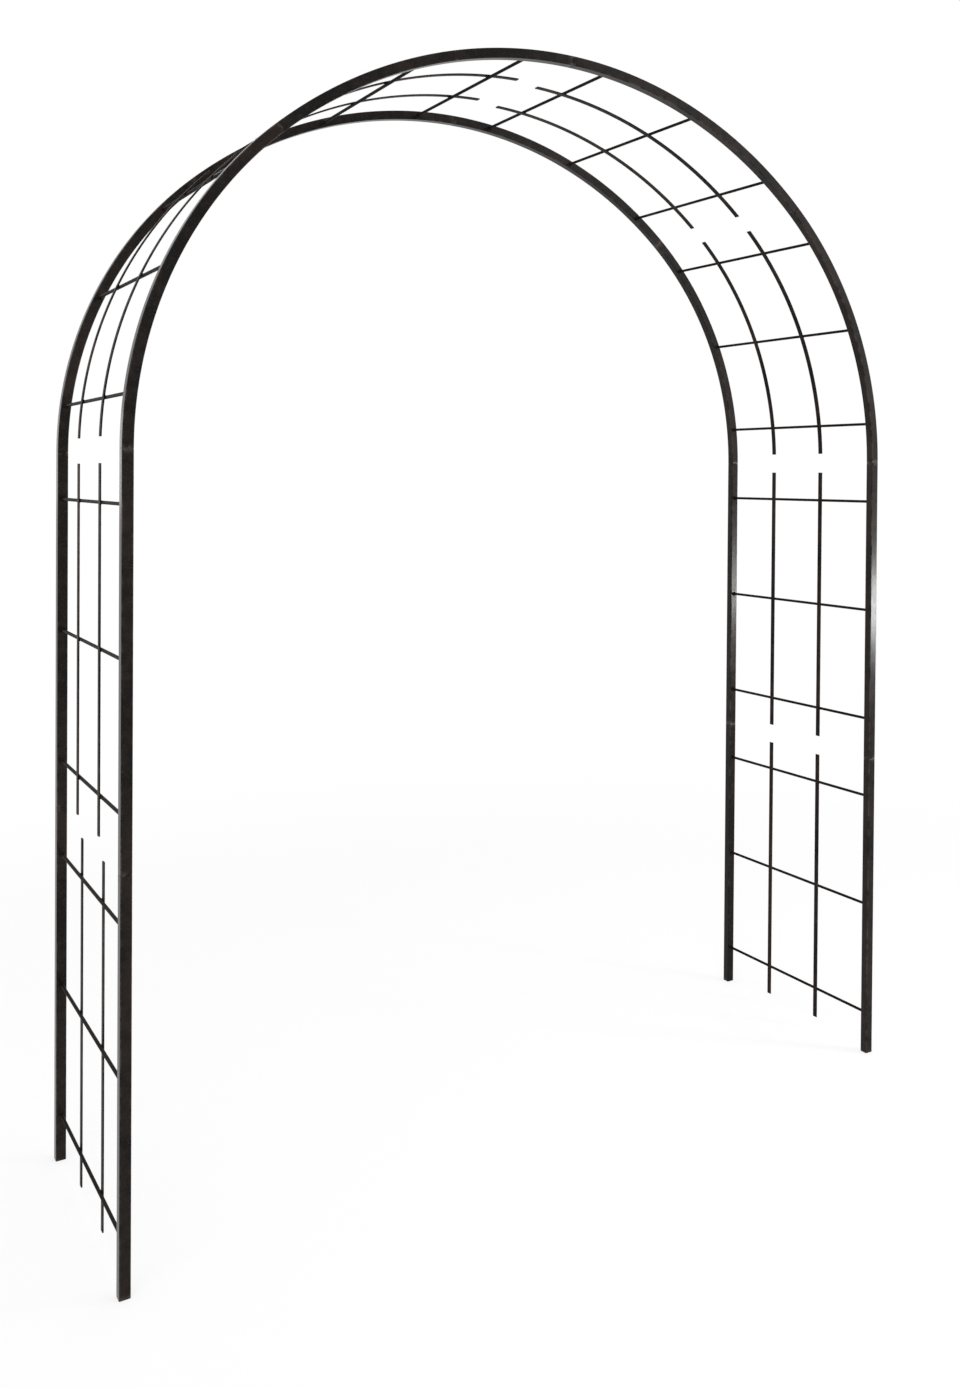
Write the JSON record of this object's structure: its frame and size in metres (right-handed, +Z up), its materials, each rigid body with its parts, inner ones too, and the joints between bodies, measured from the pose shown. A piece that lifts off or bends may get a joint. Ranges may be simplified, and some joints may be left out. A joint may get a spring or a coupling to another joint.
{
  "type": "garden trellis arch",
  "caption": "Free-standing knock-down metal garden arch: square-tube ladder panels with round rungs and flat slats, straight legs, rounded top, dark powder coat.",
  "frame": {"origin": "on the ground, midway between the four feet", "axes": "+Z up, X across the passage, +Y from the front of the arch to the rear"},
  "size_m": [1.618, 0.513, 2.078],
  "materials": {
    "tube_coat": "semi-gloss brown-black powder coat on square steel tube",
    "rung_coat": "semi-gloss brown-black powder coat on round steel bar",
    "slat_coat": "semi-gloss brown-black powder coat on flat steel bar",
    "spigot_steel": "bare zinc-coated steel, hidden inside the tubes"
  },
  "bodies": {
    "root": {"right_lower_front_tube": "tube_coat", "right_lower_rear_tube": "tube_coat", "right_lower_front_slat": "slat_coat", "right_lower_rear_slat": "slat_coat", "right_lower_lower_rung": "rung_coat", "right_lower_middle_rung": "rung_coat", "right_lower_upper_rung": "rung_coat", "right_upper_front_tube": "tube_coat", "right_upper_rear_tube": "tube_coat", "right_upper_front_slat": "slat_coat", "right_upper_rear_slat": "slat_coat", "right_upper_lower_rung": "rung_coat", "right_upper_middle_rung": "rung_coat", "right_upper_upper_rung": "rung_coat", "right_haunch_front_tube": "tube_coat", "right_haunch_rear_tube": "tube_coat", "right_haunch_front_slat": "slat_coat", "right_haunch_rear_slat": "slat_coat", "right_haunch_lower_rung": "rung_coat", "right_haunch_middle_rung": "rung_coat", "right_haunch_upper_rung": "rung_coat", "right_crown_front_tube": "tube_coat", "right_crown_rear_tube": "tube_coat", "right_crown_front_slat": "slat_coat", "right_crown_rear_slat": "slat_coat", "right_crown_lower_rung": "rung_coat", "right_crown_middle_rung": "rung_coat", "right_crown_upper_rung": "rung_coat", "left_lower_front_tube": "tube_coat", "left_lower_rear_tube": "tube_coat", "left_lower_front_slat": "slat_coat", "left_lower_rear_slat": "slat_coat", "left_lower_lower_rung": "rung_coat", "left_lower_middle_rung": "rung_coat", "left_lower_upper_rung": "rung_coat", "left_upper_front_tube": "tube_coat", "left_upper_rear_tube": "tube_coat", "left_upper_front_slat": "slat_coat", "left_upper_rear_slat": "slat_coat", "left_upper_lower_rung": "rung_coat", "left_upper_middle_rung": "rung_coat", "left_upper_upper_rung": "rung_coat", "left_haunch_front_tube": "tube_coat", "left_haunch_rear_tube": "tube_coat", "left_haunch_front_slat": "slat_coat", "left_haunch_rear_slat": "slat_coat", "left_haunch_lower_rung": "rung_coat", "left_haunch_middle_rung": "rung_coat", "left_haunch_upper_rung": "rung_coat", "left_crown_front_tube": "tube_coat", "left_crown_rear_tube": "tube_coat", "left_crown_front_slat": "slat_coat", "left_crown_rear_slat": "slat_coat", "left_crown_lower_rung": "rung_coat", "left_crown_middle_rung": "rung_coat", "left_crown_upper_rung": "rung_coat", "leg_spigots": "spigot_steel", "springing_spigots": "spigot_steel", "arch_spigots": "spigot_steel"}
  },
  "joints": []
}
